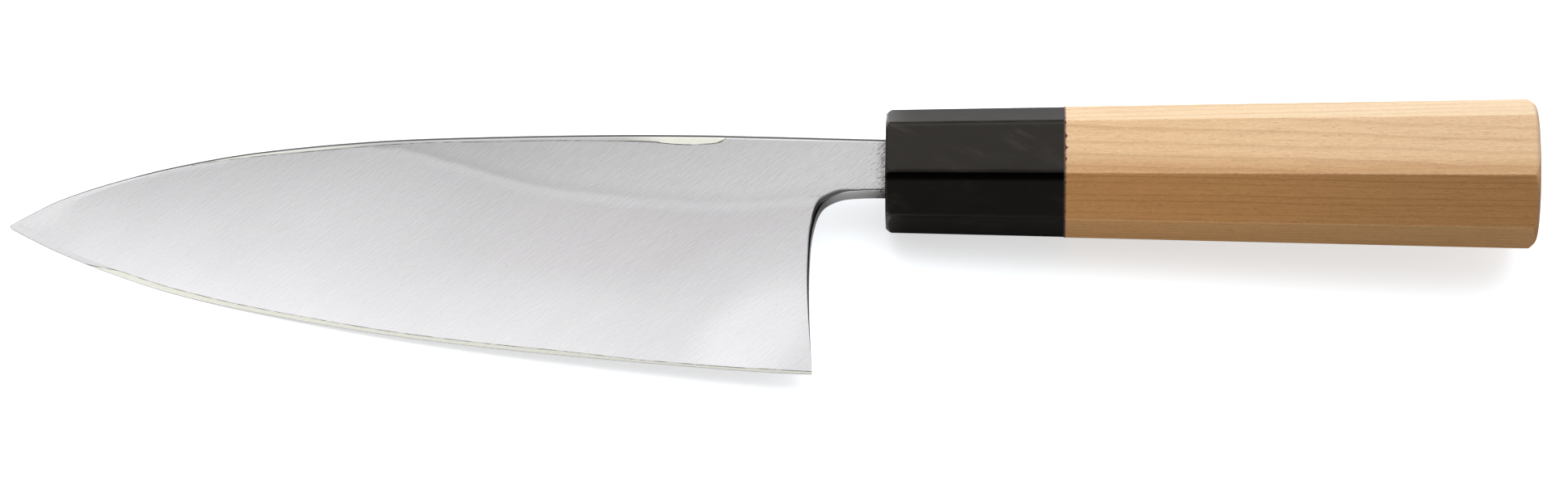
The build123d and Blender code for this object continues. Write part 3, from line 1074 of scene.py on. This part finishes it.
# Tang bedding: resin poured into the grip's bore and the ferrule's slot round the tang, which holds the blade. It
# keeps the shape that it was given there.
def set_material(node, material):
    """Gives a piece of the frame another finish."""
    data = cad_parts[node].data
    data.materials.clear()
    data.materials.append(material)


def filler(name, dark, light, rough):
    """A cast filler: mottled, dull, slightly pitted."""
    m = Finish(name)
    place = m.add("TexCoord", {})["Object"]
    mottle = m.add("TexNoise", {"Vector": place, "Scale": 900, "Detail": 4})[0]
    inputs = {"Base Color": m.blend(mottle, dark, light), "Roughness": m.plus(mottle, 0.2, rough)}
    return m.surface(inputs, mottle, 0.6, 0.0002)


set_material("tang_bedding", filler("resin", (0.2, 0.13, 0.06), (0.34, 0.24, 0.12), 0.3))


# Mouth seal: a thin plug of dark filler, pressed into the ferrule's mouth round the neck to keep water out. It keeps
# the shape that it was given there.
set_material("mouth_seal", filler("dark_filler", (0.012, 0.01, 0.009), (0.035, 0.028, 0.022), 0.6))


# Table: a plain white sheet, far larger than the view, which takes the knife's shadow
def sheet(name, corners, material):
    """A flat four-sided sheet of the stage."""
    mesh = bpy.data.meshes.new(name)
    mesh.from_pydata(corners, [], [(0, 1, 2, 3)])
    mesh.materials.append(material)
    made = placed(name, mesh)


def table_white():
    """Matt white paper: lifted where the camera sees it, warm to the wood, dark in the handle's reflections."""
    m = Finish("table_white")
    ray = m.add("LightPath", {})
    along, across, _ = m.axes(m.add("TexCoord", {})["Object"])
    far = m.times(ray["Is Glossy Ray"], m.rises(across, 0.02, 0.1, 0, 0.35))
    mirrored = m.blend(m.rises(along, 0.016, 0.024), (0.95, 0.95, 0.95), (0.16, 0.16, 0.16))
    return m.surface({
        "Base Color": m.coat((0.73, 0.79, 0.85), [
            (ray["Is Diffuse Ray"], (0.6, 0.51, 0.41)),
            (ray["Is Glossy Ray"], mirrored),
        ]),
        "Roughness": 1,
        "Specular IOR Level": 0,
        "Emission Color": (1, 1, 1),
        "Emission Strength": m.plus(ray["Is Camera Ray"], 0.62, far),
    })


table_reach = 12.0
table_corners = [(x * table_reach, y * table_reach, 0) for x, y in ((-1, -1), (1, -1), (1, 1), (-1, 1))]
sheet("table", table_corners, table_white())


# Studio: even light from all round and one wide soft lamp above and behind the knife. Polished surfaces see the
# room itself: bright behind the knife, softer overhead, dark on the camera's side
room_levels = [(-90, 0.26), (-60, 0.08), (-34, 0.12), (-16, 0.42), (-2, 0.32)]
room_levels += [(8, 0.286), (28, 1.66), (38, 1.4), (56, 0.36), (90, 0.3)]
room_slant = 0.4
side_level = 0.45


def studio():
    """The world: even soft light, and the room's levels by the angle off the zenith where it is reflected."""
    world = bpy.data.worlds.new("studio")
    bpy.context.scene.world = world
    m = Nodes(world)
    ray = m.add("LightPath", {})
    x, y, z = m.axes(m.add("TexCoord", {})["Generated"])
    sideways = m.maths("ABSOLUTE", x)
    tilt = m.maths("ARCTAN2", y, z)
    angle = m.plus(x, -room_slant, tilt)
    level = room_levels[0][1]
    for (low, start), (high, end) in zip(room_levels, room_levels[1:]):
        inputs = {"Value": angle, 1: np.radians(low), 2: np.radians(high), 3: 0, 4: end - start}
        level = m.maths("ADD", m.add("MapRange", inputs)[0], level)
    level = m.times(level, m.rises(sideways, 0.35, 0.8, 1, 0.2))
    sides = m.times(m.rises(sideways, 0.45, 0.8), m.rises(y, 0.1, 0.3, 1, 0))
    level = m.mix(sides, level, side_level)
    even = m.rises(tilt, np.radians(-75), np.radians(65), 0.08, 1.25)
    strength = m.mix(ray["Is Glossy Ray"], even, level)
    seen = m.maths("MAXIMUM", ray["Is Camera Ray"], ray["Is Transmission Ray"])
    warm = m.times(ray["Is Diffuse Ray"], m.rises(tilt, -1.2, 0.2, 1, 0))
    colour = m.blend(warm, (1, 1, 1), (1, 0.88, 0.76))
    m.feed(m.tree.nodes["Background"], {"Strength": m.mix(seen, strength, 1), "Color": colour})


studio()


lamp_place = Vector((0.1, 0.45, 1.75))


def soft_lamp(width, height, power):
    """A flat lamp turned to the knife's middle and out of sight of polished surfaces."""
    light = bpy.data.lights.new("back_light", "AREA")
    light.shape = "RECTANGLE"
    light.size = width
    light.size_y = height
    light.energy = power
    lamp = placed("back_light", light)
    lamp.location = lamp_place
    lamp.rotation_euler = (-lamp_place).to_track_quat("-Z", "Y").to_euler()
    lamp.visible_camera = False
    lamp.visible_glossy = False


soft_lamp(2.6, 1.4, 24)


# Camera: above the knife on the edge's side, as in the photograph
view_from = Vector((-0.01217, -0.62795, 0.90462))
view_to = Vector((0.00225, 0.0051, 0))
view_roll = np.radians(3.3834)
lens = 135.43


def place_camera():
    """The camera looks along one line, turned about it by its roll."""
    camera = bpy.data.cameras.new("camera")
    camera.lens = lens
    camera.sensor_width = 36
    camera.clip_start = 0.01
    made = placed("camera", camera)
    away = (view_from - view_to).normalized()
    level = Vector((0, 0, 1)).cross(away).normalized()
    right = level * np.cos(view_roll) + away.cross(level) * np.sin(view_roll)
    up = away.cross(right)
    made.matrix_world = Matrix.Translation(view_from) @ Matrix((right, up, away)).transposed().to_4x4()
    bpy.context.scene.camera = made


place_camera()
bpy.context.scene.view_settings.view_transform = "Standard"
